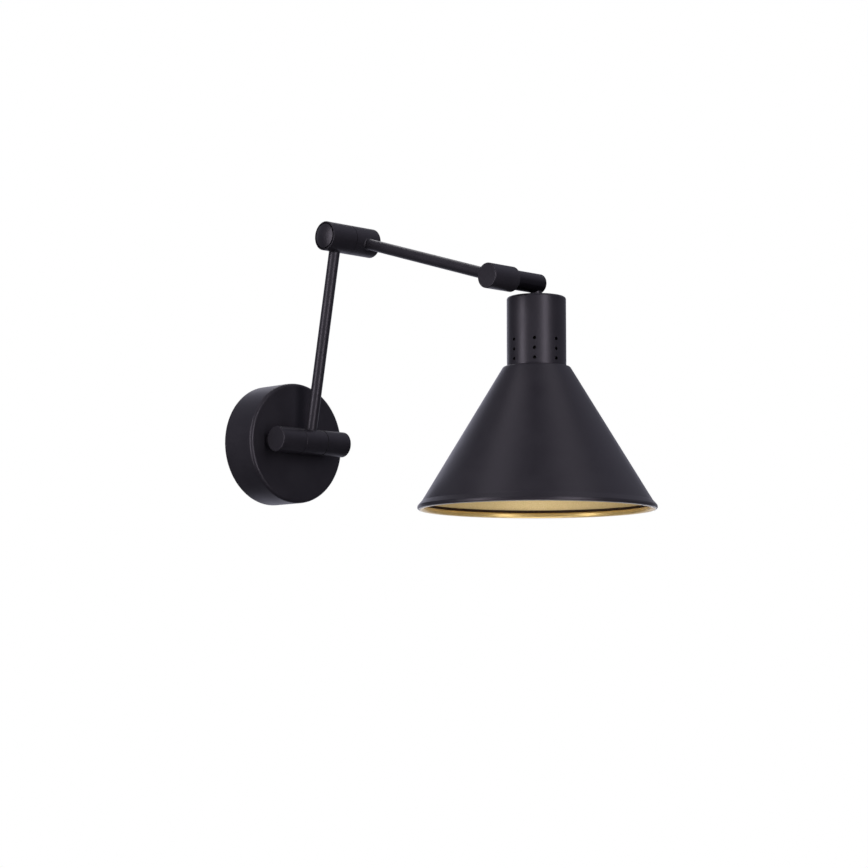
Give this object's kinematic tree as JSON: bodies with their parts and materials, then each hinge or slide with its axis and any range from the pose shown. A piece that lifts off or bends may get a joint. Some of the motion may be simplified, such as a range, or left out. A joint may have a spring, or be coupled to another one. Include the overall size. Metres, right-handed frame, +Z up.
{
  "type": "swing arm wall sconce",
  "caption": "Wall lamp with a round canopy, two thin hinged arms and a tilting conical metal shade with a vented socket cup; black outside, gold inside.",
  "frame": {"origin": "middle of the canopy's back, on the wall plane", "axes": "+Z up; the wall is the plane Y = 0 and +Y points into it, so the lamp stands out towards -Y; +X to the right for someone facing the wall. All hinge axes run along X."},
  "size_m": [0.2572, 0.4089, 0.2934],
  "materials": {
    "black_coat": "satin",
    "shade_finish": "satin",
    "zinc_steel": "satin",
    "green_screw": "gloss",
    "copper_wire": "satin",
    "black_insulation": "satin",
    "white_insulation": "satin",
    "lead_insulation": "satin",
    "brass": "satin",
    "phenolic": "satin",
    "fibre_washer": "matte",
    "spring_steel": "satin"
  },
  "bodies": {
    "wall_mount": {"mounting_bracket": "zinc_steel", "ground_screw": "green_screw", "ground_lead": "copper_wire", "canopy_cup": "black_coat", "canopy_screws": "black_coat", "post_left": "black_coat", "post_right": "black_coat", "post_washers": "zinc_steel", "post_nuts": "zinc_steel", "pivot_barrel_left": "black_coat", "pivot_barrel_right": "black_coat", "pivot_cap_left": "black_coat", "pivot_cap_right": "black_coat", "pivot_tube": "zinc_steel", "pivot_washers": "fibre_washer", "pivot_set_screws": "black_coat", "supply_lead_black": "black_insulation", "supply_lead_white": "white_insulation"},
    "lower_arm": {"pivot_hub": "black_coat", "lower_arm_tube": "black_coat", "elbow_barrel_lower": "black_coat", "elbow_cap_left": "black_coat", "elbow_bolt": "zinc_steel", "elbow_nut": "zinc_steel", "elbow_spring_washer": "spring_steel", "elbow_washer": "fibre_washer", "lower_arm_leads": "lead_insulation"},
    "upper_arm": {"elbow_barrel_upper": "black_coat", "elbow_cap_right": "black_coat", "upper_arm_tube": "black_coat", "head_barrel": "black_coat", "head_cap": "black_coat", "tilt_washer": "fibre_washer", "upper_arm_leads": "lead_insulation"},
    "shade_head": {"tilt_barrel": "black_coat", "tilt_tube": "zinc_steel", "tilt_nut": "zinc_steel", "tilt_spring_washer": "spring_steel", "stem_collar": "black_coat", "stem_nipple": "zinc_steel", "cup_nut": "zinc_steel", "socket_cup": "black_coat", "lampholder_cap": "phenolic", "lampholder_body": "phenolic", "screw_shell": "brass", "centre_contact": "brass", "terminal_screws": "brass", "shade": "shade_finish", "shade_ring": "black_coat", "socket_leads": "lead_insulation"}
  },
  "joints": [
    {"name": "lower_joint", "type": "hinge", "parent": "wall_mount", "child": "lower_arm", "pos_m": [0, -0.0596, 0], "axis": [1, 0, 0], "range_deg": [-15, 55]},
    {"name": "elbow_joint", "type": "hinge", "parent": "lower_arm", "child": "upper_arm", "pos_m": [0, -0.09814, 0.20206], "axis": [1, 0, 0], "range_deg": [-65, 10]},
    {"name": "tilt_joint", "type": "hinge", "parent": "upper_arm", "child": "shade_head", "pos_m": [0, -0.29464, 0.14123], "axis": [1, 0, 0], "range_deg": [-100, 20]}
  ]
}
